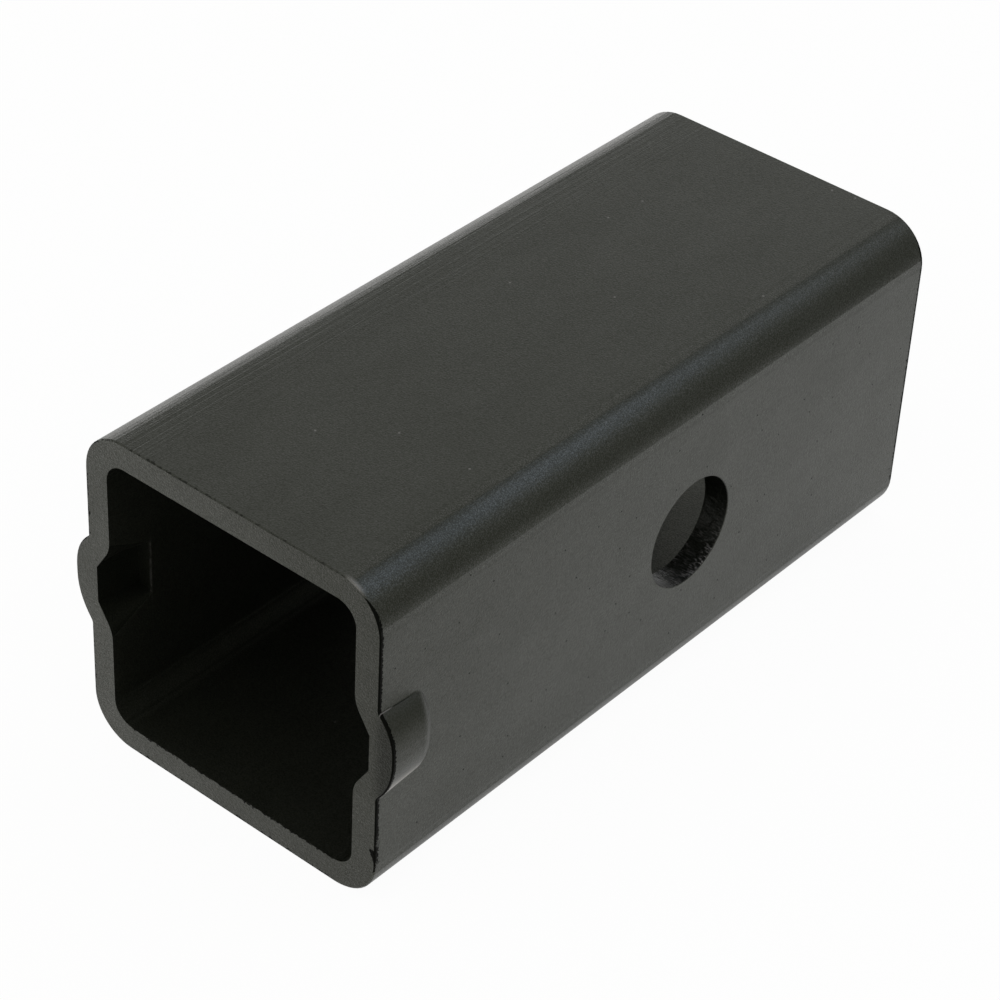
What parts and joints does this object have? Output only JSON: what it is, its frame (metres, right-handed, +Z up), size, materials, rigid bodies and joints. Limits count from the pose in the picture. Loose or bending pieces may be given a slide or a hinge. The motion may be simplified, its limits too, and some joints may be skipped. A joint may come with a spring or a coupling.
{
  "type": "hitch receiver sleeve",
  "caption": "Square steel sleeve tube, open at both ends, with a pin bore through its side walls and pressed-out stop lugs at its mouth.",
  "frame": {"origin": "on the tube's axis, at the middle of the pin bore", "axes": "+X along the pin bore; +Y along the tube, away from the mouth with the stop lugs; +Z up, out of the top wall"},
  "size_m": [0.0698, 0.1425, 0.0636],
  "materials": {
    "coated_steel": "satin, fine orange peel"
  },
  "bodies": {
    "root": {"sleeve": "coated_steel"}
  },
  "joints": []
}
